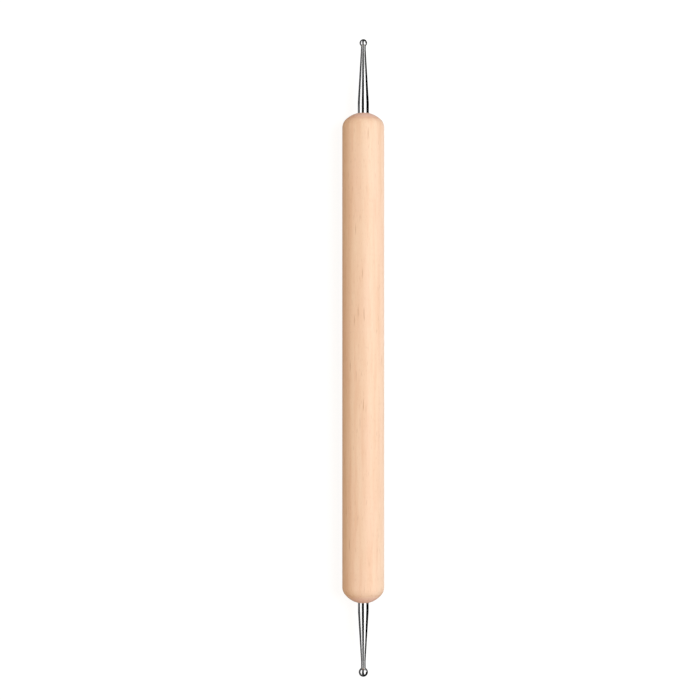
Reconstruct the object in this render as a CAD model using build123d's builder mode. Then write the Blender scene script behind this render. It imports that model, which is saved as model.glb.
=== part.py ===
from build123d import *

import math
import os
from dataclasses import dataclass

# A double-ended embossing stylus, in millimetres: a turned wooden handle with a steel ball tip
# bonded into each end. The two tips have the same form, with a small and a large ball.
# The stylus lies level. +X runs along its axis towards the fine tip, +Z is up, and the origin is
# on the axis, in the middle of the handle, where it is held.

# Handle: a straight dowel whose ends are domed by a shoulder arc and a shallow crown.
handle_diameter = 10.0
handle_length = 116.8
shoulder_radius = 2.8
fine_crown_rise = 0.84
broad_crown_rise = 1.07

# Bores for the tips, drilled from both ends with a twist drill.
tang_length = 19.0
glue_gap = 0.1
glue_pool_depth = 0.8
drill_point_angle = 118.0
mouth_chamfer = 0.1

# Tips: from the end of the handle to the far side of the ball.
tip_reach = 17.5
tang_chamfer = 0.4
solder_film = 0.1
solder_fillet_radius = 0.15

fine_ball_diameter = 1.8
fine_neck_diameter = 1.15
fine_neck_length = 0.7
fine_shank_diameter = 2.65
fine_collar_length = 2.2

broad_ball_diameter = 2.2
broad_neck_diameter = 1.1
broad_neck_length = 1.6
broad_shank_diameter = 2.55
broad_collar_length = 1.9

# How far a cut runs past the surface that it opens.
cut_overrun = 1.0

handle_radius = handle_diameter / 2


@dataclass(frozen=True)
class Tip:
    """One end of the stylus. Its sketches start at the end of the handle: X runs outward, Y is the radius."""

    name: str
    plane: Plane
    crown_rise: float
    ball_radius: float
    neck_radius: float
    neck_length: float
    shank_radius: float
    collar_length: float

    @property
    def axis(self):
        return Axis(self.plane.origin, self.plane.x_dir)

    @property
    def dome_height(self):
        return shoulder_radius + self.crown_rise

    @property
    def crown_radius(self):
        """The crown meets the shoulder arc without a corner."""
        flat_radius = handle_radius - shoulder_radius
        return shoulder_radius + (flat_radius**2 + self.crown_rise**2) / (2 * self.crown_rise)

    @property
    def crown_centre(self):
        return -self.crown_radius, 0

    @property
    def shoulder_centre(self):
        return -self.dome_height, handle_radius - shoulder_radius

    @property
    def crown_angle(self):
        """How far the crown's arc reaches round from the axis before the shoulder takes over."""
        run = self.crown_radius - self.dome_height
        return math.degrees(math.atan2(handle_radius - shoulder_radius, run))

    @property
    def bore_radius(self):
        return self.shank_radius + glue_gap

    @property
    def bore_depth(self):
        return tang_length + glue_pool_depth

    @property
    def glue_level(self):
        """Depth of the bore's wall below the end of the handle, where the mouth's chamfer ends."""
        return self.crown_radius - math.sqrt(self.crown_radius**2 - self.bore_radius**2) + mouth_chamfer

    @property
    def ball_centre(self):
        return tip_reach - self.ball_radius

    @property
    def cup_radius(self):
        """The neck's end is cupped round the ball, with room for the film of solder between them."""
        return self.ball_radius + solder_film

    @property
    def cup_angle(self):
        """Angle at the ball's centre between the axis and the rim of the cup, in degrees."""
        return math.degrees(math.asin(self.neck_radius / self.cup_radius))

    @property
    def neck_end(self):
        return self.ball_centre - math.sqrt(self.cup_radius**2 - self.neck_radius**2)

    def cup_arc(self):
        """The cup's section, from its rim to the axis. It is the same arc on the neck and on the solder."""
        return CenterArc((self.ball_centre, 0), self.cup_radius, 180 - self.cup_angle, self.cup_angle)


fine_tip = Tip(
    name="fine",
    plane=Plane(origin=(handle_length / 2, 0, 0), x_dir=(1, 0, 0), z_dir=(0, 0, 1)),
    crown_rise=fine_crown_rise,
    ball_radius=fine_ball_diameter / 2,
    neck_radius=fine_neck_diameter / 2,
    neck_length=fine_neck_length,
    shank_radius=fine_shank_diameter / 2,
    collar_length=fine_collar_length,
)
broad_tip = Tip(
    name="broad",
    plane=Plane(origin=(-handle_length / 2, 0, 0), x_dir=(-1, 0, 0), z_dir=(0, 0, -1)),
    crown_rise=broad_crown_rise,
    ball_radius=broad_ball_diameter / 2,
    neck_radius=broad_neck_diameter / 2,
    neck_length=broad_neck_length,
    shank_radius=broad_shank_diameter / 2,
    collar_length=broad_collar_length,
)
tips = [fine_tip, broad_tip]


def bore_outline(tip):
    """The drilled hole from its mouth down to the corner above the drill's point, and the point itself."""
    point_length = tip.bore_radius / math.tan(math.radians(drill_point_angle / 2))
    return [
        (-tip.glue_level, tip.bore_radius),
        (-tip.bore_depth, tip.bore_radius),
        (-tip.bore_depth - point_length, 0),
    ]


def tang_outline(tip):
    """The hidden end of the shank, from the middle of its end face to its full radius."""
    return [
        (-tang_length, 0),
        (-tang_length, tip.shank_radius - tang_chamfer),
        (-tang_length + tang_chamfer, tip.shank_radius),
    ]


def make_shank(tip):
    """The turned steel shank: a tang, a parallel collar, a long taper and a neck that is cupped for the ball."""
    with BuildPart() as shank:
        with BuildSketch(tip.plane):
            with BuildLine():
                cup = tip.cup_arc()
                Polyline(
                    cup @ 1,
                    *tang_outline(tip),
                    (tip.collar_length, tip.shank_radius),
                    (tip.neck_end - tip.neck_length, tip.neck_radius),
                    cup @ 0,
                )
            make_face()
        revolve(axis=tip.axis)
    return shank


def make_ball(tip):
    """The steel ball, soldered into the neck's cup."""
    with BuildPart(tip.plane) as ball:
        with Locations((tip.ball_centre, 0)):
            Sphere(tip.ball_radius)
    return ball


def make_braze(tip):
    """The silver solder: a film between the ball and the cup, and a hollow fillet round its edge."""
    ring_radius = tip.neck_radius + solder_fillet_radius
    reach = math.sqrt((tip.ball_radius + solder_fillet_radius) ** 2 - ring_radius**2)
    ring_centre = (tip.ball_centre - reach, ring_radius)
    wet_angle = math.degrees(math.atan2(ring_radius, reach))
    with BuildPart() as braze:
        with BuildSketch(tip.plane):
            with BuildLine():
                fillet_arc = CenterArc(ring_centre, solder_fillet_radius, -90, 90 - wet_angle)
                ball_arc = CenterArc((tip.ball_centre, 0), tip.ball_radius, 180 - wet_angle, wet_angle)
                cup = tip.cup_arc()
                Line(ball_arc @ 1, cup @ 1)
                Line(cup @ 0, fillet_arc @ 0)
            make_face()
        revolve(axis=tip.axis)
    return braze


def make_adhesive(tip):
    """The cured adhesive round the tang, from the foot of the mouth's chamfer to the drill's point."""
    with BuildPart() as adhesive:
        with BuildSketch(tip.plane):
            with BuildLine():
                Polyline(
                    *bore_outline(tip),
                    *tang_outline(tip),
                    (-tip.glue_level, tip.shank_radius),
                    close=True,
                )
            make_face()
        revolve(axis=tip.axis)
    return adhesive


def save(piece, name):
    """Labels a finished piece and writes it to its own file."""
    piece.part.label = name
    export_step(piece.part, f"parts/{name}.step")


os.makedirs("parts", exist_ok=True)

with BuildPart() as handle:
    for tip in tips:
        # Half of the handle, from its middle to this tip's domed end.
        with BuildSketch(tip.plane):
            with BuildLine():
                crown = CenterArc(tip.crown_centre, tip.crown_radius, 0, tip.crown_angle)
                shoulder = CenterArc(tip.shoulder_centre, shoulder_radius, tip.crown_angle, 90 - tip.crown_angle)
                Polyline(
                    shoulder @ 1,
                    (-handle_length / 2, handle_radius),
                    (-handle_length / 2, 0),
                    crown @ 0,
                )
            make_face()
        revolve(axis=tip.axis)
    for tip in tips:
        # The blind bore for the tang. Its mouth is chamfered where it breaks out of the dome.
        with BuildSketch(tip.plane):
            with BuildLine():
                Polyline(
                    (cut_overrun, 0),
                    (cut_overrun, tip.bore_radius + tip.glue_level + cut_overrun),
                    *bore_outline(tip),
                    close=True,
                )
            make_face()
        revolve(axis=tip.axis, mode=Mode.SUBTRACT)
save(handle, "handle")

for tip in tips:
    save(make_shank(tip), f"{tip.name}_shank")
    save(make_ball(tip), f"{tip.name}_ball")
    save(make_braze(tip), f"{tip.name}_braze")
    save(make_adhesive(tip), f"{tip.name}_adhesive")

    taper_length = tip.neck_end - tip.neck_length - tip.collar_length
    print(
        f"{tip.name}: crown radius {tip.crown_radius:.2f}, dome {tip.dome_height:.2f},"
        f" bore {2 * tip.bore_radius:.2f} x {tip.bore_depth:.2f}, taper {taper_length:.2f}"
    )
print(f"overall length {handle_length + 2 * tip_reach:.1f}")
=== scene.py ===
"""Dresses an embossing stylus: a turned wooden handle with a polished steel ball tip at each end."""
import logging
import math
from dataclasses import dataclass
from enum import Enum

import bmesh
import bpy
from mathutils import Matrix, Vector


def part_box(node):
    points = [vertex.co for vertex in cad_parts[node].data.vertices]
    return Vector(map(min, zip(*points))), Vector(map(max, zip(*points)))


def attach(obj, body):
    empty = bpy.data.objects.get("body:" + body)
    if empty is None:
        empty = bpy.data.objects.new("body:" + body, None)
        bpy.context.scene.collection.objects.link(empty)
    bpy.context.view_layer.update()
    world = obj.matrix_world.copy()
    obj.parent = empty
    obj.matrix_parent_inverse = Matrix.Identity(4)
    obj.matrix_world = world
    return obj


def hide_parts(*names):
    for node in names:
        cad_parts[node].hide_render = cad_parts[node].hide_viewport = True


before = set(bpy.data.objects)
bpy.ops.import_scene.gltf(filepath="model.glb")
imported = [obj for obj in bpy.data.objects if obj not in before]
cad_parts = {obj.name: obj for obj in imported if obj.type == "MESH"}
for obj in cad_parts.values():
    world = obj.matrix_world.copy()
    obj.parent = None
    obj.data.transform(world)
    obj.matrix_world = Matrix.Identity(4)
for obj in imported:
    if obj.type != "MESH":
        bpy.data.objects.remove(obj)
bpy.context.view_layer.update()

LOG = logging.getLogger("stylus")

MM = 0.001
IMAGE_PIXELS = 700
WELD_DISTANCE = 0.0002 * MM
SAME_PLACE = 0.0001 * MM

Colour = tuple[float, float, float]
Place = tuple[float, float, float]
Point = tuple[float, float]


def rgba(colour: Colour) -> tuple[float, float, float, float]:
    """Gives a colour its full opacity."""
    return (*colour, 1.0)


# ---- node trees


class Wire:
    """An output socket, with arithmetic that adds Math nodes to its tree."""

    def __init__(self, sheet: "Sheet", socket: bpy.types.NodeSocket) -> None:
        """Keeps the tree's builder and the socket."""
        self.sheet = sheet
        self.socket = socket

    def __add__(self, other: "Number") -> "Wire":
        """Adds a number or another wire."""
        return self.sheet.math("ADD", self, other)

    def __radd__(self, other: float) -> "Wire":
        """Adds this wire to a number."""
        return self.sheet.math("ADD", other, self)

    def __sub__(self, other: "Number") -> "Wire":
        """Takes away a number or another wire."""
        return self.sheet.math("SUBTRACT", self, other)

    def __rsub__(self, other: float) -> "Wire":
        """Takes this wire away from a number."""
        return self.sheet.math("SUBTRACT", other, self)

    def __mul__(self, other: "Number") -> "Wire":
        """Multiplies by a number or another wire."""
        return self.sheet.math("MULTIPLY", self, other)

    def __rmul__(self, other: float) -> "Wire":
        """Multiplies a number by this wire."""
        return self.sheet.math("MULTIPLY", other, self)

    def __truediv__(self, other: "Number") -> "Wire":
        """Divides by a number or another wire."""
        return self.sheet.math("DIVIDE", self, other)

    def __rtruediv__(self, other: float) -> "Wire":
        """Divides a number by this wire."""
        return self.sheet.math("DIVIDE", other, self)


Number = float | Wire


class Sheet:
    """Builds one node tree, for a material, the world or a Geometry Nodes modifier."""

    def __init__(self, tree: bpy.types.NodeTree) -> None:
        """Keeps the tree and clears it."""
        self.tree = tree
        tree.nodes.clear()

    def node(self, kind: str, inputs: dict | None = None, **settings: object) -> bpy.types.Node:
        """Adds a node.

        Args:
            kind: The node's type.
            inputs: Values or wires, by the name or the number of the input socket.
            settings: The node's own settings, set before its sockets.

        Returns:
            The new node.
        """
        made = self.tree.nodes.new(kind)
        for name, value in settings.items():
            setattr(made, name, value)
        for key, value in (inputs or {}).items():
            if isinstance(value, Wire):
                self.tree.links.new(value.socket, made.inputs[key])
            else:
                made.inputs[key].default_value = value
        return made

    def out(self, kind: str, inputs: dict | None = None, output: str | int = 0, **settings: object) -> Wire:
        """Adds a node as node does, and gives its output with this name or number."""
        return Wire(self, self.node(kind, inputs, **settings).outputs[output])

    def math(self, operation: str, *values: Number) -> Wire:
        """Adds a Math node that works on numbers or wires, in order."""
        return self.out("ShaderNodeMath", dict(enumerate(values)), operation=operation)

    def scaled(self, place: Wire, scale: Place) -> Wire:
        """Multiplies a place by a number for each axis."""
        return self.out("ShaderNodeVectorMath", {0: place, 1: scale}, operation="MULTIPLY")

    def combine(self, x: Number, y: Number, z: Number) -> Wire:
        """Makes a vector of three numbers."""
        return self.out("ShaderNodeCombineXYZ", {"X": x, "Y": y, "Z": z})

    def split(self, vector: Wire) -> tuple[Wire, ...]:
        """Gives a vector's three numbers."""
        node = self.node("ShaderNodeSeparateXYZ", {0: vector})
        return tuple(Wire(self, output) for output in node.outputs)

    def fade(self, value: Wire, low: float, high: float, start: float = 0.0, end: float = 1.0) -> Wire:
        """Turns a value smoothly into start where it is low or less, and end where it is high or more."""
        inputs = {"Value": value, "From Min": low, "From Max": high, "To Min": start, "To Max": end}
        return self.out("ShaderNodeMapRange", inputs, interpolation_type="SMOOTHSTEP")

    def mix(self, factor: Number, first: object, second: object) -> Wire:
        """Mixes two colours, plain ones or wires, by the share of the second."""
        first, second = (rgba(given) if isinstance(given, tuple) else given for given in (first, second))
        return self.out("ShaderNodeMix", {0: factor, 6: first, 7: second}, 2, data_type="RGBA")

    def noise(self, place: Wire, detail: float = 2.0, roughness: float = 0.5) -> Wire:
        """Adds a noise pattern from 0 to 1 that changes once in a unit, with finer layers."""
        inputs = {"Vector": place, "Scale": 1.0, "Detail": detail, "Roughness": roughness}
        return self.out("ShaderNodeTexNoise", inputs)

    def cells(self, x: Number, y: Number, z: Number) -> tuple[Wire, Wire]:
        """Scatters a point in each unit cell, and gives how far the nearest is and its random number."""
        node = self.node("ShaderNodeTexVoronoi", {"Vector": self.combine(x, y, z), "Scale": 1.0})
        return Wire(self, node.outputs["Distance"]), self.split(Wire(self, node.outputs["Color"]))[0]


# ---- finishes


def material_sheet(name: str) -> tuple[bpy.types.Material, Sheet]:
    """Makes an empty material.

    Args:
        name: The material's name.

    Returns:
        The material and the builder of its tree.
    """
    material = bpy.data.materials.new(name)
    material.use_nodes = True
    return material, Sheet(material.node_tree)


def close_surface(sheet: Sheet, **sockets: object) -> None:
    """Adds the surface shader and the output. Underscores stand for the spaces in the sockets' names."""
    inputs = {name.replace("_", " "): value for name, value in sockets.items()}
    sheet.node("ShaderNodeOutputMaterial", {"Surface": sheet.out("ShaderNodeBsdfPrincipled", inputs)})


def millimetres(sheet: Sheet) -> Wire:
    """Gives the place on the piece, in millimetres."""
    return sheet.scaled(sheet.out("ShaderNodeTexCoord", output="Object"), (1 / MM,) * 3)


def relief(sheet: Sheet, height: Wire, strength: float, depth: float) -> Wire:
    """Gives the normal of a relief with heights from 0 to 1 that is this deep, in millimetres."""
    inputs = {"Strength": strength, "Distance": depth * MM, "Height": height}
    return sheet.out("ShaderNodeBump", inputs)


@dataclass(frozen=True)
class Layer:
    """A layer of soft unevenness, drawn out along X where along is less than across.

    along and across say how often it changes in a millimetre, and span where its colour sets in and is full.
    share says how strongly it colours, and relief and dulling how much it raises and roughens.
    """

    along: float
    across: float
    detail: float = 2.0
    roughness: float = 0.5
    span: Point = (0.0, 1.0)
    share: float = 1.0
    relief: float = 0.0
    dulling: float = 0.0

    def pattern(self, sheet: Sheet, place: Wire) -> Wire:
        """Gives the layer's pattern at a place in millimetres, from 0 to 1."""
        drawn_out = sheet.scaled(place, (self.along, self.across, self.across))
        return sheet.noise(drawn_out, self.detail, self.roughness)

    def strength(self, sheet: Sheet, pattern: Wire) -> Wire:
        """Gives how strongly the layer colours where its pattern has this value."""
        return sheet.fade(pattern, *self.span) * self.share


@dataclass(frozen=True)
class Specks:
    """Dashes or round specks, one in each cell of this size in millimetres, some of them missing.

    size says where a speck is full and where it has faded out, as shares of a cell, and kept which random
    numbers it is missing below and whole above. share says how strongly it colours, and relief and dulling
    how much it sinks and roughens.
    """

    cell: Place
    size: Point
    kept: Point
    share: float = 1.0
    relief: float = 1.0
    dulling: float = 0.0

    def pattern(self, sheet: Sheet, *places: Wire) -> Wire:
        """Scatters the specks by the place along each side of a cell, and gives them from 0 to 1."""
        distance, random = sheet.cells(*(place / side for place, side in zip(places, self.cell)))
        return sheet.fade(distance, *self.size, 1.0, 0.0) * sheet.fade(random, *self.kept)


@dataclass(frozen=True)
class TurnedWood:
    """Pale fine-grained hardwood with a satin seal, in millimetres. The grain runs along X."""

    pale: Colour = (0.902, 0.642, 0.457)
    latewood: Colour = (0.800, 0.470, 0.285)
    blush: Colour = (0.900, 0.616, 0.446)
    fleck: Colour = (0.500, 0.230, 0.105)
    end_grain: Colour = (0.830, 0.520, 0.440)
    pith: Point = (10.0, -29.0)
    pith_lean: Point = (0.006, 0.009)
    pith_sway: Point = (2.4, 1.6)
    sway: Layer = Layer(0.018, 0.11)
    ring_width: float = 2.1
    ring_onset: Point = (0.50, 0.90)
    ring_share: float = 0.14
    patches: Layer = Layer(0.05, 0.25, span=(0.35, 0.68), share=0.85)
    broad_streaks: Layer = Layer(0.06, 0.9, 3.0, 0.6, span=(0.40, 0.75), share=0.46)
    fibres: Layer = Layer(0.25, 4.5, 3.0, 0.7, span=(0.42, 0.80), share=0.30, relief=0.25, dulling=0.10)
    hairs: Layer = Layer(0.6, 17.0, 2.0, 0.6, span=(0.45, 0.80), share=0.30, relief=0.25)
    long_flecks: Specks = Specks((11.0, 0.75, 0.75), (0.07, 0.19), (0.40, 0.75), share=0.55, relief=0.15)
    short_flecks: Specks = Specks((3.4, 0.40, 0.80), (0.08, 0.26), (0.35, 0.70), share=0.22)
    pores: Specks = Specks((1.3, 0.16, 0.16), (0.10, 0.34), (0.30, 0.65), 0.20, relief=0.60, dulling=0.12)
    dome: Point = (56.0, 57.5)
    dome_share: float = 0.70
    dome_dulling: float = 0.06
    crown_edge: float = 56.555
    crown_edge_middle: float = 0.295
    # The darker line where the crown meets the shoulder, broken up by the broad streaks.
    crown_line_reach: Point = (0.05, 0.32)
    crown_line_breaks: Point = (0.3, 0.6)
    crown_line_share: float = 0.45
    turning_lines: float = 9.0
    turning_relief: float = 0.25
    relief_strength: float = 0.35
    relief_depth: float = 0.03
    roughness: float = 0.45

    def build(self) -> bpy.types.Material:
        """Builds the material.

        Returns:
            The material.
        """
        material, sheet = material_sheet("sealed_turned_hardwood")
        place = millimetres(sheet)
        x, y, z = sheet.split(place)
        radius, round_pith = self.round_the_pith(sheet, place)

        broad_streaks, fibres, hairs, patches = (
            layer.pattern(sheet, place)
            for layer in (self.broad_streaks, self.fibres, self.hairs, self.patches)
        )
        long_flecks, pores = (specks.pattern(sheet, x, y, z) for specks in (self.long_flecks, self.pores))
        short_flecks = self.short_flecks.pattern(sheet, x, round_pith, radius)
        on_dome = sheet.fade(sheet.math("ABSOLUTE", x), *self.dome)
        # A darker line where the crown meets the shoulder, only where the broad streaks are strong.
        crown_line = self.crown_line(sheet, x) * sheet.fade(broad_streaks, *self.crown_line_breaks)

        colour = sheet.mix(self.patches.strength(sheet, patches), self.pale, self.blush)
        for strength, tone in (
            (self.late_rings(sheet, radius) * self.ring_share, self.latewood),
            (self.broad_streaks.strength(sheet, broad_streaks), self.latewood),
            (self.fibres.strength(sheet, fibres), self.latewood),
            (self.hairs.strength(sheet, hairs), self.latewood),
            (on_dome * self.dome_share, self.end_grain),
            (crown_line * self.crown_line_share, self.latewood),
            (short_flecks * self.short_flecks.share, self.fleck),
            (long_flecks * self.long_flecks.share, self.fleck),
            (pores * self.pores.share, self.fleck),
        ):
            colour = sheet.mix(strength, colour, tone)

        turning = sheet.noise(sheet.combine(x * self.turning_lines, 0.0, 0.0), 1.0) * on_dome
        raised = fibres * self.fibres.relief + hairs * self.hairs.relief + turning * self.turning_relief
        sunk = pores * self.pores.relief + long_flecks * self.long_flecks.relief
        dulling = fibres * self.fibres.dulling + pores * self.pores.dulling + on_dome * self.dome_dulling
        close_surface(
            sheet, Base_Color=colour, Roughness=self.roughness + dulling, IOR=1.42,
            Normal=relief(sheet, raised - sunk, self.relief_strength, self.relief_depth),
            Coat_Weight=0.14, Coat_Roughness=0.24, Coat_IOR=1.5,
        )
        return material

    def round_the_pith(self, sheet: Sheet, place: Wire) -> tuple[Wire, Wire]:
        """Finds the place in the tree that the wood came from. The pith leans and sways along the piece.

        Args:
            sheet: The material's builder.
            place: The place on the piece, in millimetres.

        Returns:
            The distance from the pith, and the distance round it.
        """
        x, y, z = sheet.split(place)
        sway = self.sway.pattern(sheet, place) - 0.5
        across = y - self.pith[0] + x * self.pith_lean[0] + sway * self.pith_sway[0]
        down = z - self.pith[1] + x * self.pith_lean[1] + sway * self.pith_sway[1]
        radius = sheet.math("SQRT", across * across + down * down)
        return radius, sheet.math("ARCTAN2", across, down) * -self.pith[1]

    def late_rings(self, sheet: Sheet, radius: Wire) -> Wire:
        """Gives the latewood of each year's ring, from 0 to 1. It comes on slowly and ends sharply."""
        growth = sheet.math("FRACT", radius / self.ring_width)
        return sheet.fade(growth, *self.ring_onset) * sheet.fade(growth, self.ring_onset[1], 1.0, 1.0, 0.0)

    def crown_line(self, sheet: Sheet, x: Wire) -> Wire:
        """Gives a darker line where the crown meets the shoulder, from 0 to 1."""
        from_edge = sheet.math("ABSOLUTE", x - self.crown_edge_middle) - self.crown_edge
        return sheet.fade(sheet.math("ABSOLUTE", from_edge), *self.crown_line_reach, 1.0, 0.0)


@dataclass(frozen=True)
class PolishedSteel:
    """Polished stainless steel, in millimetres, with very fine turning marks and a duller, heated neck."""

    name: str = "polished_turned_steel"
    colour: Colour = (0.80, 0.80, 0.805)
    shade: Colour = (0.70, 0.70, 0.71)
    heated: Colour = (0.34, 0.335, 0.33)
    roughness: float = 0.07
    wander: Layer = Layer(0.8, 0.8)
    smudges: Layer = Layer(1.4, 1.4, 3.0, 0.55, span=(0.45, 0.8), share=0.35, dulling=0.05)
    dull_span: Point = (0.5, 0.8)
    line_pitch: float = 0.06
    line_wander: float = 1.5
    line_depth: float = 0.0004
    line_dulling: float = 0.03
    heat: Point = (66.3, 72.0)
    heat_unevenness: float = 1.5
    heat_dulling: float = 0.16
    heat_tint: float = 5.0

    def build(self) -> bpy.types.Material:
        """Builds the material.

        Returns:
            The material.
        """
        material, sheet = material_sheet(self.name)
        place = millimetres(sheet)
        x = sheet.split(place)[0]
        wander = self.wander.pattern(sheet, place)
        lines = sheet.noise(sheet.combine(x / self.line_pitch, wander * self.line_wander, 0.0), 2.0, 0.6)
        smudges = self.smudges.pattern(sheet, place)
        reach = sheet.math("ABSOLUTE", x) + (smudges - 0.5) * self.heat_unevenness
        heat = sheet.fade(reach, *self.heat, 0.0, self.heat_dulling)
        colour = sheet.mix(self.smudges.strength(sheet, smudges), self.colour, self.shade)
        colour = sheet.mix(heat * self.heat_tint, colour, self.heated)
        dulling = sheet.fade(smudges, *self.dull_span) * self.smudges.dulling
        close_surface(
            sheet, Base_Color=colour, Metallic=1.0,
            Roughness=self.roughness + lines * self.line_dulling + dulling + heat,
            Normal=relief(sheet, lines, strength=0.5, depth=self.line_depth),
        )
        return material


@dataclass(frozen=True)
class SilverSolder:
    """Silver solder: warmer and duller than the steel, with the soft ripples of its flow and dark patches,
    partly tarnish and partly painted shade in the joint.
    """

    colour: Colour = (0.75, 0.73, 0.68)
    # Dark tone of the patches: partly tarnish, partly painted shade in the joint between the ball and the
    # neck.
    dull: Colour = (0.42, 0.40, 0.36)
    ripples: Layer = Layer(5.0, 5.0)
    ripple_depth: float = 0.01
    tarnish_and_shade: Layer = Layer(2.2, 2.2, 3.0, 0.6, span=(0.3, 0.7), share=0.8, dulling=0.14)
    roughness: float = 0.20

    def build(self) -> bpy.types.Material:
        """Builds the material.

        Returns:
            The material.
        """
        material, sheet = material_sheet("silver_solder_joint")
        place = millimetres(sheet)
        # Dark patches over the solder in the joint: partly tarnish, partly painted shade.
        tarnish_and_shade = sheet.fade(self.tarnish_and_shade.pattern(sheet, place), *self.tarnish_and_shade.span)
        close_surface(
            sheet, Base_Color=sheet.mix(tarnish_and_shade * self.tarnish_and_shade.share, self.colour, self.dull), Metallic=1.0,
            Roughness=self.roughness + tarnish_and_shade * self.tarnish_and_shade.dulling,
            Normal=relief(sheet, self.ripples.pattern(sheet, place), strength=0.4, depth=self.ripple_depth),
        )
        return material


@dataclass(frozen=True)
class CuredEpoxy:
    """Cured epoxy adhesive: amber and glossy, slightly clouded, with a few pinhole bubbles."""

    colour: Colour = (0.66, 0.45, 0.25)
    deep: Colour = (0.52, 0.30, 0.13)
    clouds: Layer = Layer(1.6, 1.6, 3.0, span=(0.3, 0.7))
    bubbles: Specks = Specks((0.25, 0.25, 0.25), (0.10, 0.20), (0.6, 0.8), dulling=0.2)
    bubble_depth: float = 0.02
    roughness: float = 0.14

    def build(self) -> bpy.types.Material:
        """Builds the material.

        Returns:
            The material.
        """
        material, sheet = material_sheet("amber_epoxy")
        place = millimetres(sheet)
        clouds = self.clouds.strength(sheet, self.clouds.pattern(sheet, place))
        bubbles = self.bubbles.pattern(sheet, *sheet.split(place))
        close_surface(
            sheet, Base_Color=sheet.mix(clouds, self.colour, self.deep), IOR=1.55, Coat_Weight=0.3,
            Roughness=self.roughness + bubbles * self.bubbles.dulling,
            Normal=relief(sheet, 1.0 - bubbles, strength=0.5, depth=self.bubble_depth),
        )
        return material


# ---- turned shapes


class Outline:
    """Half the section of a round piece: places along the axis and radii, in metres, in order."""

    def __init__(self) -> None:
        """Starts with no points."""
        self.points: list[Point] = []

    def at(self, place: float, radius: float) -> "Outline":
        """Adds one point, unless the outline is already there.

        Args:
            place: The point's place along the axis.
            radius: Its radius.

        Returns:
            This outline.
        """
        if not self.points or math.dist(self.points[-1], (place, radius)) > SAME_PLACE:
            self.points.append((place, radius))
        return self

    def run(self, place: float, radius: float, step: float) -> "Outline":
        """Goes straight to a point.

        Args:
            place: The end's place along the axis.
            radius: The end's radius.
            step: The longest gap between the points on the way.

        Returns:
            This outline.
        """
        start = self.points[-1]
        count = max(1, math.ceil(math.dist(start, (place, radius)) / step))
        for index in range(1, count + 1):
            share = index / count
            self.at(start[0] + (place - start[0]) * share, start[1] + (radius - start[1]) * share)
        return self

    def arc(self, centre: Point, radius: float, start: float, end: float, count: int) -> "Outline":
        """Follows an arc.

        Args:
            centre: The arc's centre.
            radius: Its radius.
            start: The angle that it starts at, in radians from the axis.
            end: The angle that it ends at.
            count: How many steps it has.

        Returns:
            This outline.
        """
        for index in range(count + 1):
            angle = start + (end - start) * index / count
            self.at(centre[0] + radius * math.cos(angle), max(0.0, centre[1] + radius * math.sin(angle)))
        return self

    def corner(self, corner: Point, beyond: Point, size: float, count: int) -> "Outline":
        """Goes towards a corner and rounds it.

        Args:
            corner: The sharp corner.
            beyond: A point on the next run.
            size: How far from the corner the rounding starts and ends.
            count: How many steps it has.

        Returns:
            This outline.
        """
        before = Vector(self.points[-1])
        middle, after = Vector(corner), Vector(beyond)
        first = middle + (before - middle).normalized() * size
        last = middle + (after - middle).normalized() * size
        for index in range(count + 1):
            share = index / count
            point = first * (1 - share) ** 2 + middle * (2 * share * (1 - share)) + last * share**2
            self.at(point.x, point.y)
        return self

    def placed(self, origin: float, side: int) -> list[Point]:
        """Gives the points with the outline's own zero this far out, on this side of the stylus's middle."""
        return [(side * (origin + place), radius) for place, radius in self.points]


def add_object(name: str, data: bpy.types.ID) -> bpy.types.Object:
    """Puts a new object in the scene, with this mesh, light or camera."""
    bpy.context.scene.collection.objects.link(made := bpy.data.objects.new(name, data))
    return made


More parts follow.
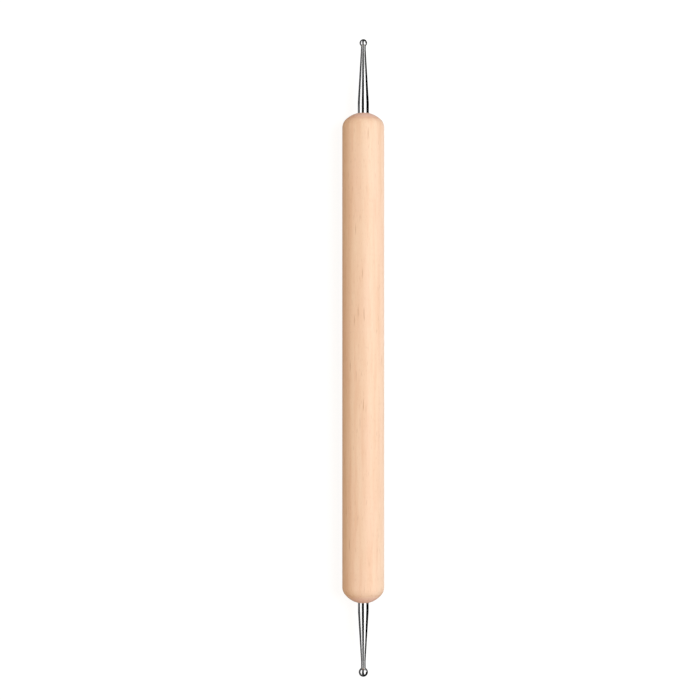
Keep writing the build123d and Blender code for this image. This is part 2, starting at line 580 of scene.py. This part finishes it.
@dataclass
class Lathe:
    """A Geometry Nodes tree that turns an outline round the X axis into a closed solid."""

    corner_angle: float = math.radians(20.0)
    flow_scale: float = 1.4 / MM
    flow_seed: float = 7.0
    sockets: tuple[tuple[str, str], ...] = (
        ("Outline", "Geometry"), ("Segments", "Int"), ("Merge Distance", "Float"), ("Corner Angle", "Float"),
        ("Flow", "Float"), ("Flow Scale", "Float"), ("Flow Seed", "Float"), ("Material", "Material"),
    )

    def __post_init__(self) -> None:
        """Builds the tree, and keeps the identifiers of its inputs."""
        self.tree = bpy.data.node_groups.new("turned_solid", "GeometryNodeTree")
        self.keys: dict[str, str] = {}
        for name, kind in self.sockets:
            socket = self.tree.interface.new_socket(name, in_out="INPUT", socket_type=f"NodeSocket{kind}")
            self.keys[name] = socket.identifier
        self.tree.interface.new_socket("Solid", in_out="OUTPUT", socket_type="NodeSocketGeometry")
        self._wire()

    def _wire(self) -> None:
        """Fills the tree: a grid with a row for each point of the outline, bent round the axis."""
        sheet = Sheet(self.tree)
        group = sheet.node("NodeGroupInput")
        given = {name: Wire(sheet, group.outputs[name]) for name in self.keys}
        outline = {"Geometry": given["Outline"]}
        rows = sheet.out("GeometryNodeAttributeDomainSize", outline, "Point Count", component="MESH")
        columns = given["Segments"] + 1.0
        grid = sheet.out("GeometryNodeMeshGrid", {"Vertices X": rows, "Vertices Y": columns}, "Mesh")

        index = sheet.out("GeometryNodeInputIndex")
        row = sheet.math("FLOOR", (index + 0.5) / columns)
        angle = (index - row * columns) / given["Segments"] * math.tau
        sample = {**outline, "Value": sheet.out("GeometryNodeInputPosition"), "Index": row}
        place, radius, _ = sheet.split(sheet.out(
            "GeometryNodeSampleIndex", sample, "Value", data_type="FLOAT_VECTOR", domain="POINT"))
        level_y, level_z = (radius * sheet.math(turn, angle) for turn in ("COSINE", "SINE"))
        flow = sheet.out("ShaderNodeTexNoise", {
            "Vector": sheet.combine(place, level_y, level_z), "W": given["Flow Seed"],
            "Scale": given["Flow Scale"], "Detail": 1.0}, noise_dimensions="4D")
        swell = 1.0 + (flow - 0.5) * given["Flow"]
        bent = sheet.out("GeometryNodeSetPosition", {
            "Geometry": grid, "Position": sheet.combine(place, level_y * swell, level_z * swell)})

        closed = sheet.out("GeometryNodeMergeByDistance", {
            "Geometry": bent, "Distance": given["Merge Distance"]})
        smooth = sheet.out("GeometryNodeSetShadeSmooth", {
            "Geometry": closed, "Shade Smooth": True}, domain="FACE")
        bend = sheet.out("GeometryNodeInputMeshEdgeAngle")
        is_corner = sheet.math("GREATER_THAN", bend, given["Corner Angle"])
        crisp = sheet.out("GeometryNodeSetShadeSmooth", {
            "Geometry": smooth, "Selection": is_corner, "Shade Smooth": False}, domain="EDGE")
        real = sheet.out("GeometryNodeRealizeInstances", {"Geometry": crisp})
        dressed = sheet.out("GeometryNodeSetMaterial", {"Geometry": real, "Material": given["Material"]})
        sheet.node("NodeGroupOutput", {"Solid": dressed})

    def turn(
        self, name: str, points: list[Point], segments: int, material: bpy.types.Material, flow: float = 0.0,
    ) -> bpy.types.Object:
        """Turns an outline into a plain mesh object, with no doubles left and every face outward.

        Args:
            name: The object's name.
            points: The outline, from one end on the axis to the other.
            segments: How many faces go round.
            material: The piece's finish.
            flow: How uneven the radius is, as a share of it.

        Returns:
            The new object, at the origin, with its place in its mesh.
        """
        outline = bpy.data.meshes.new(f"{name}_outline")
        outline.from_pydata([(place, radius, 0.0) for place, radius in points], [], [])
        piece = add_object(name, outline)
        modifier = piece.modifiers.new("turn", "NODES")
        modifier.node_group = self.tree
        values = {
            "Segments": segments, "Merge Distance": WELD_DISTANCE, "Corner Angle": self.corner_angle,
            "Flow": flow, "Flow Scale": self.flow_scale, "Flow Seed": self.flow_seed, "Material": material,
        }
        for key, value in values.items():
            modifier[self.keys[key]] = value
        graph = bpy.context.evaluated_depsgraph_get()
        solid = bpy.data.meshes.new_from_object(piece.evaluated_get(graph), depsgraph=graph)
        piece.modifiers.clear()
        piece.data = solid
        solid.name = name
        bpy.data.meshes.remove(outline)
        shell = bmesh.new()
        shell.from_mesh(solid)
        bmesh.ops.remove_doubles(shell, verts=shell.verts, dist=WELD_DISTANCE)
        bmesh.ops.recalc_face_normals(shell, faces=shell.faces)
        shell.to_mesh(solid)
        shell.free()
        return piece


# ---- the stylus


class End(Enum):
    """The two ends of the stylus, and the side of the middle that each is on."""

    FINE = 1
    BROAD = -1

    @property
    def label(self) -> str:
        """The end's name in the names of its pieces."""
        return self.name.lower()


@dataclass(frozen=True)
class TipSizes:
    """One steel tip and its seat in the handle, in metres. Places run outward from the end of the handle."""

    end: End
    crown_rise: float
    ball_radius: float
    neck_radius: float
    neck_length: float
    shank_radius: float
    collar_length: float
    reach: float = 17.5 * MM
    tang_length: float = 19.0 * MM
    tang_chamfer: float = 0.4 * MM
    glue_gap: float = 0.1 * MM
    glue_pool_depth: float = 0.8 * MM
    mouth_chamfer: float = 0.1 * MM
    drill_half_angle: float = math.radians(59.0)
    solder_film: float = 0.1 * MM
    solder_fillet_radius: float = 0.15 * MM

    @property
    def bore_radius(self) -> float:
        """The bore's radius."""
        return self.shank_radius + self.glue_gap

    @property
    def bore_depth(self) -> float:
        """The bore's depth, down to the shoulder of the drill's point."""
        return self.tang_length + self.glue_pool_depth

    @property
    def point_depth(self) -> float:
        """The bore's depth on the axis."""
        return self.bore_depth + self.bore_radius / math.tan(self.drill_half_angle)

    @property
    def ball_centre(self) -> float:
        """The place of the ball's centre."""
        return self.reach - self.ball_radius

    @property
    def cup_radius(self) -> float:
        """The radius of the neck's hollow end."""
        return self.ball_radius + self.solder_film

    @property
    def cup_angle(self) -> float:
        """The angle at the ball's centre between the axis and the cup's rim."""
        return math.asin(self.neck_radius / self.cup_radius)

    @property
    def neck_end(self) -> float:
        """The place of the cup's rim."""
        return self.ball_centre - self.cup_radius * math.cos(self.cup_angle)


FINE_SIZES = TipSizes(
    end=End.FINE, crown_rise=0.84 * MM, ball_radius=0.9 * MM, neck_radius=0.575 * MM, neck_length=0.7 * MM,
    shank_radius=1.325 * MM, collar_length=2.2 * MM,
)
BROAD_SIZES = TipSizes(
    end=End.BROAD, crown_rise=1.07 * MM, ball_radius=1.1 * MM, neck_radius=0.55 * MM, neck_length=1.6 * MM,
    shank_radius=1.275 * MM, collar_length=1.9 * MM,
)


@dataclass(frozen=True)
class Handle:
    """The turned wooden handle: a straight dowel with domed ends and a blind bore in each, in metres."""

    lathe: Lathe
    wood: bpy.types.Material
    radius: float = 5.0 * MM
    length: float = 116.8 * MM
    shoulder_radius: float = 2.8 * MM
    tips: tuple[TipSizes, TipSizes] = (FINE_SIZES, BROAD_SIZES)
    segments: int = 160
    arc_steps: int = 24
    row_step: float = 2.5 * MM
    point_step: float = 0.4 * MM
    mouth_step: float = 0.05 * MM

    def crown_radius(self, tip: TipSizes) -> float:
        """The radius of an end's shallow crown, which meets the shoulder's arc without a corner."""
        flat = self.radius - self.shoulder_radius
        return self.shoulder_radius + (flat**2 + tip.crown_rise**2) / (2 * tip.crown_rise)

    def mouth(self, tip: TipSizes) -> tuple[Point, Point]:
        """Finds the chamfer round a bore's mouth.

        Args:
            tip: The tip in that bore.

        Returns:
            The chamfer's inner and outer edge.
        """
        crown = self.crown_radius(tip)
        level = crown - math.sqrt(crown**2 - tip.bore_radius**2) + tip.mouth_chamfer
        reach = tip.bore_radius + level
        outer = (math.sqrt((crown + reach) ** 2 - 2 * reach**2) - crown - reach) / 2
        return (-level, tip.bore_radius), (outer, outer + reach)

    def half_outline(self, tip: TipSizes) -> Outline:
        """Draws half the handle, from the bottom of a bore round the dome to the middle.

        Args:
            tip: The tip at that end.

        Returns:
            The outline.
        """
        crown = self.crown_radius(tip)
        flat = self.radius - self.shoulder_radius
        dome = self.shoulder_radius + tip.crown_rise
        turn = math.atan2(flat, crown - dome)
        inner, outer = self.mouth(tip)
        outline = Outline().at(-tip.point_depth, 0.0).run(-tip.bore_depth, tip.bore_radius, self.point_step)
        outline.run(*inner, self.row_step).run(*outer, self.mouth_step)
        outline.arc((-crown, 0.0), crown, math.asin(outer[1] / crown), turn, self.arc_steps)
        outline.arc((-dome, flat), self.shoulder_radius, turn, math.pi / 2, self.arc_steps)
        return outline.run(-self.length / 2, self.radius, self.row_step)

    def build(self) -> None:
        """Builds and dresses the handle."""
        fine, broad = (self.half_outline(tip).placed(self.length / 2, tip.end.value) for tip in self.tips)
        piece = self.lathe.turn("wooden_handle", fine + broad[-2::-1], self.segments, self.wood)
        dress(piece, "handle")


@dataclass(frozen=True)
class Tip:
    """A steel tip: the shank, the ball, the solder that joins them, and the adhesive round the tang."""

    sizes: TipSizes
    handle: Handle
    steel: bpy.types.Material
    ball_steel: bpy.types.Material
    solder: bpy.types.Material
    epoxy: bpy.types.Material
    segments: int = 112
    row_step: float = 0.5 * MM
    neck_step: float = 0.1 * MM
    collar_rounding: float = 0.35 * MM
    collar_lead: float = 0.8 * MM
    neck_rounding: float = 0.25 * MM
    neck_lead: float = 0.36 * MM
    rounding_steps: int = 6
    ball_steps: int = 64
    cup_steps: int = 16
    fillet_steps: int = 10
    solder_flow: float = 0.06
    meniscus_rise: float = 0.6
    meniscus_rounding: float = 0.03 * MM
    meniscus_steps: int = 8

    def shank_outline(self) -> Outline:
        """Draws the shank: tang, collar, long taper, and the neck that is hollowed for the ball.

        Returns:
            The outline.
        """
        s, steps = self.sizes, self.rounding_steps
        neck_start = s.neck_end - s.neck_length
        taper_end = neck_start - self.neck_lead
        share = (taper_end - s.collar_length) / (neck_start - s.collar_length)
        outline = Outline().at(-s.tang_length, 0.0)
        outline.run(-s.tang_length, s.shank_radius - s.tang_chamfer, self.row_step)
        outline.run(-s.tang_length + s.tang_chamfer, s.shank_radius, self.row_step)
        outline.run(s.collar_length - self.collar_lead, s.shank_radius, self.row_step)
        outline.corner(
            (s.collar_length, s.shank_radius), (neck_start, s.neck_radius), self.collar_rounding, steps)
        outline.run(taper_end, s.shank_radius + (s.neck_radius - s.shank_radius) * share, self.row_step)
        outline.corner((neck_start, s.neck_radius), (s.neck_end, s.neck_radius), self.neck_rounding, steps)
        outline.run(s.neck_end, s.neck_radius, self.neck_step)
        return outline.arc((s.ball_centre, 0.0), s.cup_radius, math.pi - s.cup_angle, math.pi, self.cup_steps)

    def ball_outline(self) -> Outline:
        """Draws the ball."""
        s = self.sizes
        return Outline().arc((s.ball_centre, 0.0), s.ball_radius, math.pi, 0.0, self.ball_steps)

    def solder_outline(self) -> Outline:
        """Draws the film of solder in the cup and the hollow fillet round its edge.

        Returns:
            The outline.
        """
        s = self.sizes
        ring = s.neck_radius + s.solder_fillet_radius
        reach = math.sqrt((s.ball_radius + s.solder_fillet_radius) ** 2 - ring**2)
        wet = math.atan2(ring, reach)
        centre = (s.ball_centre, 0.0)
        ring_centre = (s.ball_centre - reach, ring)
        outline = Outline().arc(centre, s.cup_radius, math.pi, math.pi - s.cup_angle, self.cup_steps)
        outline.arc(ring_centre, s.solder_fillet_radius, -math.pi / 2, -wet, self.fillet_steps)
        return outline.arc(centre, s.ball_radius, math.pi - wet, math.pi, self.cup_steps)

    def adhesive_outline(self) -> Outline:
        """Draws the adhesive round the tang, with the hollow meniscus that it sets to in the mouth.

        Returns:
            The outline.
        """
        s = self.sizes
        inner, outer = self.handle.mouth(s)
        rim = tuple(low + (high - low) * self.meniscus_rise for low, high in zip(inner, outer))
        outline = Outline().at(-s.point_depth, 0.0).run(-s.bore_depth, s.bore_radius, self.row_step)
        outline.run(*inner, self.row_step).at(*rim)
        outline.corner(inner, (inner[0], s.shank_radius), self.meniscus_rounding, self.meniscus_steps)
        outline.at(outer[0], s.shank_radius)
        outline.run(-s.tang_length + s.tang_chamfer, s.shank_radius, self.row_step)
        outline.run(-s.tang_length, s.shank_radius - s.tang_chamfer, self.row_step)
        return outline.run(-s.tang_length, 0.0, self.row_step)

    def build(self) -> list[bpy.types.Object]:
        """Builds and dresses the four pieces of the tip.

        Returns:
            The pieces.
        """
        end = self.sizes.end
        plan = (
            ("shank", "shank", self.shank_outline(), self.steel, "polished_steel", 0.0),
            ("ball", "ball", self.ball_outline(), self.ball_steel, "polished_steel", 0.0),
            ("solder", "braze", self.solder_outline(), self.solder, "silver_solder", self.solder_flow),
            ("adhesive", "adhesive", self.adhesive_outline(), self.epoxy, "epoxy", 0.0),
        )
        pieces = []
        for part, node, outline, material, slot, flow in plan:
            points = outline.placed(self.handle.length / 2, end.value)
            piece = self.handle.lathe.turn(f"{end.label}_tip_{part}", points, self.segments, material, flow)
            dress(piece, f"{end.label}_{node}")
            pieces.append(piece)
        return pieces


def dress(piece: bpy.types.Object, node: str) -> None:
    """Puts a finished piece in the place of its CAD node, and reports how closely it keeps to it.

    Args:
        piece: The finished piece.
        node: The node that it stands for.
    """
    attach(piece, "root")
    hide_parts(node)
    low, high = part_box(node)
    places = [vertex.co for vertex in piece.data.vertices]
    gap = max(
        max(abs(min(p[axis] for p in places) - low[axis]), abs(max(p[axis] for p in places) - high[axis]))
        for axis in range(3)
    )
    faces = len(piece.data.polygons)
    LOG.info("%s stands for %s: %d faces, within %.3f mm of its box", piece.name, node, faces, gap / MM)


# ---- studio


@dataclass(frozen=True)
class Card:
    """A card of the studio that only reflections show: the light that it sends out, its corners and faces."""

    name: str
    light: float
    corners: tuple[Place, ...]
    faces: tuple[tuple[int, ...], ...]

    def build(self) -> bpy.types.Object:
        """Builds the card.

        Returns:
            The card.
        """
        material, sheet = material_sheet(self.name)
        glow = sheet.out("ShaderNodeEmission", {"Strength": self.light})
        sheet.node("ShaderNodeOutputMaterial", {"Surface": glow})
        mesh = bpy.data.meshes.new(self.name)
        mesh.from_pydata(self.corners, [], self.faces)
        mesh.materials.append(material)
        card = add_object(self.name, mesh)
        for ray in ("camera", "diffuse", "shadow", "transmission", "volume_scatter"):
            setattr(card, f"visible_{ray}", False)
        return card


def ladder(name: str, light: float, *rungs: tuple[Place, Place]) -> Card:
    """Plans a card that reaches from each pair of corners to the next."""
    faces = tuple((2 * i, 2 * i + 1, 2 * i + 3, 2 * i + 2) for i in range(len(rungs) - 1))
    return Card(name, light, tuple(corner for pair in rungs for corner in pair), faces)


def rung(place: float, distance: float, *degrees: float) -> tuple[Place, ...]:
    """Gives a card's corners at a place along the stylus and at angles from straight up, to the right."""
    angles = (math.radians(angle) for angle in degrees)
    return tuple((place, -distance * math.sin(angle), distance * math.cos(angle)) for angle in angles)


def seen(sheet: Sheet) -> Wire:
    """Tells rays that show the background, seen, mirrored or through glass, from those that light things.

    Args:
        sheet: The builder of the floor's or the world's tree.

    Returns:
        1 for the rays that show it, and 0 for the others.
    """
    path = sheet.node("ShaderNodeLightPath").outputs
    rays = ("Camera", "Glossy", "Transmission")
    camera, glossy, through = (Wire(sheet, path[f"Is {ray} Ray"]) for ray in rays)
    return sheet.math("MINIMUM", camera + glossy + through, 1.0)


def rise_to(distance: float, degrees: float) -> float:
    """Gives the height at a distance from the stylus that is seen from it at this angle above level."""
    return distance * math.tan(math.radians(degrees))


@dataclass(frozen=True)
class Studio:
    """The floor, the light, the cards and the camera, in metres and degrees. The stylus lies on the floor."""

    floor_level: float = -5.0 * MM
    floor_size: float = 6.0
    floor_tone: float = 0.62
    floor_glow: float = 1.22
    floor_glow_share: float = 0.735
    glow_spread: Point = (0.12, 0.70)
    sky_level: float = 0.51
    sky_colour: Colour = (1.26, 0.985, 0.665)
    lamp_place: Place = (0.16, -0.77, 1.24)
    lamp_size: float = 0.80
    lamp_level: float = 7.6
    lamp_colour: Colour = (0.775, 1.0, 1.245)
    strip_distance: float = 0.42
    strip_half_length: float = 0.50
    strip_full_length: float = 0.20
    strip_end_share: float = 0.45
    right_strip: tuple[float, float, float] = (15.5, 68.0, 1.45)
    left_strip: tuple[float, float, float] = (-73.5, -33.0, 1.30)
    flag_lift: float = 0.1 * MM
    flag_reach: float = 0.15
    handle_flag_rise: float = 14.0
    handle_flag_light: float = 0.20
    handle_flag_lift: float = 0.2 * MM
    handle_flag_start: float = 0.5 * MM
    right_bowl: Point = (24.0, 0.0)
    left_bowl: Point = (14.0, 0.07)
    bowl_steps: int = 12
    tip_start: float = 57.3 * MM
    collar_end: float = 61.3 * MM
    upright_lift: float = 1.0 * MM
    curtain_light: float = 0.10
    curtain_size: Point = (0.6, 0.7)
    taper_flag_places: tuple[float, float, float] = (0.158, 0.171, 0.260)
    taper_flag_full: Point = (-36.0, 24.0)
    taper_flag_distance: float = 0.38
    taper_wall_posts: tuple[Place, ...] = ((0.100, 0.149, 16.5), (0.108, 0.149, 27.0), (0.160, 0.149, 27.0))
    taper_wall_light: float = 0.07
    lens: float = 100.0
    sensor: float = 36.0
    pixel: float = 0.2381 * MM
    centre_pixel: Point = (363.3, 357.95)
    clip: Point = (0.01, 20.0)

    @property
    def strip_gap(self) -> Point:
        """The angles where the left strip ends and the right one starts."""
        return self.left_strip[1], self.right_strip[0]

    def strip(self, name: str, low: float, high: float, light: float) -> Card:
        """Plans a long card that fills a range of angles above the stylus and narrows towards its ends.

        Args:
            name: The card's name.
            low: The angle from straight up where it starts, in degrees, positive to the right.
            high: The angle where it ends.
            light: How bright it is.

        Returns:
            The card.
        """
        middle, slack = (low + high) / 2, (high - low) / 2 * self.strip_end_share
        whole, narrow = (low, high), (middle - slack, middle + slack)
        half, full = self.strip_half_length, self.strip_full_length
        spans = (-half, narrow), (-full, whole), (full, whole), (half, narrow)
        return ladder(name, light, *(rung(place, self.strip_distance, *span) for place, span in spans))

    def overhead_flag(self) -> Card:
        """Plans the black card that fills the gap between the two strips."""
        places = -self.strip_half_length, self.strip_half_length
        return ladder("overhead_flag", 0.0, *(rung(x, self.strip_distance, *self.strip_gap) for x in places))

    def handle_flag(self) -> Card:
        """Plans a dark card that lies on the floor at the left of the handle and stands up at its far edge.

        Returns:
            The card.
        """
        low, end = self.floor_level + self.handle_flag_lift, self.collar_end
        far, top = self.flag_reach, rise_to(self.flag_reach, self.handle_flag_rise)
        across = (self.handle_flag_start, low), (far, low), (far, top)
        rungs = (((-end, *point), (end, *point)) for point in across)
        return ladder("handle_left_flag", self.handle_flag_light, *rungs)

    def bowl(self, name: str, end: End, side: int, rise: float, light: float) -> Card:
        """Plans a dark card round one side of a tip: a quarter of a shallow bowl with an upright rim.

        Args:
            name: The card's name.
            end: The tip's end.
            side: 1 for the left of the stylus, -1 for the right.
            rise: The angle above level, in degrees, that its rim reaches.
            light: How bright it is.

        Returns:
            The card.
        """
        low, top = self.floor_level + self.flag_lift, rise_to(self.flag_reach, rise)
        corners: list[Place] = [(end.value * self.tip_start, 0.0, low)]
        for index in range(self.bowl_steps + 1):
            angle = math.pi / 2 * index / self.bowl_steps
            x = end.value * (self.tip_start + self.flag_reach * math.cos(angle))
            y = side * self.flag_reach * math.sin(angle)
            corners += [(x, y, low), (x, y, top)]
        steps = range(1, 2 * self.bowl_steps, 2)
        faces = [(0, i, i + 2) for i in steps] + [(i, i + 1, i + 3, i + 2) for i in steps]
        return Card(name, light, tuple(corners), tuple(faces))

    def taper_flag(self, end: End) -> Card:
        """Plans the black card overhead that keeps the middle dark stripe wide as a taper gets thin.

        Args:
            end: The tip's end.

        Returns:
            The card.
        """
        spans = zip(self.taper_flag_places, (self.strip_gap, self.taper_flag_full, self.taper_flag_full))
        rungs = (rung(end.value * place, self.taper_flag_distance, *span) for place, span in spans)
        return ladder(f"{end.label}_taper_flag", 0.0, *rungs)

    def taper_wall(self, end: End) -> Card:
        """Plans the dark upright card that keeps the left dark stripe wide as a taper gets thin."""
        posts = (self.post(end.value * x, y, rise_to(y, rise)) for x, y, rise in self.taper_wall_posts)
        return ladder(f"{end.label}_taper_wall", self.taper_wall_light, *posts)

    def curtain(self, end: End) -> Card:
        """Plans the dark card that hangs across the stylus's line, beyond one end.

        Args:
            end: The end.

        Returns:
            The card.
        """
        wide, top = self.curtain_size
        posts = (self.post(end.value * self.strip_half_length, y, top) for y in (-wide, wide))
        return ladder(f"{end.label}_curtain", self.curtain_light, *posts)

    def post(self, x: float, y: float, top: float) -> tuple[Place, Place]:
        """Gives the corners of an upright card at one place, just above the floor and at this height."""
        return (x, y, self.floor_level + self.upright_lift), (x, y, top)

    def build_floor(self) -> bpy.types.Object:
        """Builds the pale floor.

        Returns:
            The floor.
        """
        material, sheet = material_sheet("pale_floor")
        matt = sheet.out("ShaderNodeBsdfDiffuse", {"Color": rgba((self.floor_tone,) * 3)})
        glow = sheet.out("ShaderNodeEmission", {"Strength": self.floor_glow})
        place = sheet.out("ShaderNodeTexCoord", output="Object")
        distance = sheet.out("ShaderNodeVectorMath", {0: place}, "Value", operation="LENGTH")
        share = seen(sheet) * sheet.fade(distance, *self.glow_spread, self.floor_glow_share, 1.0)
        surface = sheet.out("ShaderNodeMixShader", {0: share, 1: matt, 2: glow})
        sheet.node("ShaderNodeOutputMaterial", {"Surface": surface})
        half = self.floor_size / 2
        mesh = bpy.data.meshes.new("floor")
        corners = ((-half, -half), (half, -half), (half, half), (-half, half))
        mesh.from_pydata([(x, y, self.floor_level) for x, y in corners], [], [(0, 1, 2, 3)])
        mesh.materials.append(material)
        return add_object("floor", mesh)

    def build_world(self) -> None:
        """Builds the even light from all round, on a white background."""
        world = bpy.data.worlds.new("soft_white")
        bpy.context.scene.world = world
        world.use_nodes = True
        sheet = Sheet(world.node_tree)
        shown = seen(sheet)
        strength = self.sky_level + shown * (1.0 - self.sky_level)
        colour = sheet.mix(shown, self.sky_colour, (1.0, 1.0, 1.0))
        sky = sheet.out("ShaderNodeBackground", {"Color": colour, "Strength": strength})
        sheet.node("ShaderNodeOutputWorld", {"Surface": sky})

    def build_lamp(self) -> None:
        """Builds the soft square lamp, which faces the middle of the stylus."""
        light = bpy.data.lights.new("key_lamp", "AREA")
        light.shape, light.size, light.color = "SQUARE", self.lamp_size, self.lamp_colour
        light.energy = self.lamp_level * math.pi * self.lamp_size**2
        lamp = add_object("key_lamp", light)
        lamp.visible_camera = lamp.visible_glossy = False
        back = Vector(self.lamp_place).normalized()
        up = back.cross(Vector((1.0, 0.0, 0.0))).normalized()
        turned = Matrix((up.cross(back), up, back)).transposed().to_4x4()
        lamp.matrix_world = Matrix.Translation(self.lamp_place) @ turned

    def build_camera(self) -> None:
        """Builds the camera, straight above the stylus, with the fine tip at the top of the picture."""
        data = bpy.data.cameras.new("camera")
        data.lens, data.sensor_width = self.lens, self.sensor
        data.clip_start, data.clip_end = self.clip
        across, down = ((place - IMAGE_PIXELS / 2) * self.pixel for place in self.centre_pixel)
        camera = add_object("camera", data)
        camera.location = down, across, self.lens / self.sensor * IMAGE_PIXELS * self.pixel
        camera.rotation_euler = (0.0, 0.0, -math.pi / 2)
        bpy.context.scene.camera = camera

    def build(self) -> None:
        """Builds the whole studio."""
        cards = [
            self.strip("right_strip", *self.right_strip),
            self.strip("left_strip", *self.left_strip),
            self.overhead_flag(),
            self.handle_flag(),
        ]
        for end in End:
            cards += [
                self.bowl(f"{end.label}_right_flag", end, -1, *self.right_bowl),
                self.bowl(f"{end.label}_left_flag", end, 1, *self.left_bowl),
                self.taper_flag(end),
                self.taper_wall(end),
                self.curtain(end),
            ]
        self.build_floor()
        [card.build() for card in cards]
        self.build_lamp()
        self.build_world()
        self.build_camera()
        bpy.context.scene.view_settings.view_transform = "Standard"


def main() -> None:
    """Builds the stylus and its studio."""
    logging.basicConfig(level=logging.INFO, format="%(message)s")
    lathe = Lathe()
    handle = Handle(lathe, TurnedWood().build())
    steel = PolishedSteel().build()
    ball_steel = PolishedSteel("polished_ball_steel", roughness=0.05, heat_dulling=0.0).build()
    solder, epoxy = SilverSolder().build(), CuredEpoxy().build()
    handle.build()
    for sizes in handle.tips:
        pieces = Tip(sizes, handle, steel, ball_steel, solder, epoxy).build()
        LOG.info("%s tip: %s", sizes.end.label, ", ".join(piece.name for piece in pieces))
    Studio().build()


if __name__ == "__main__":
    main()
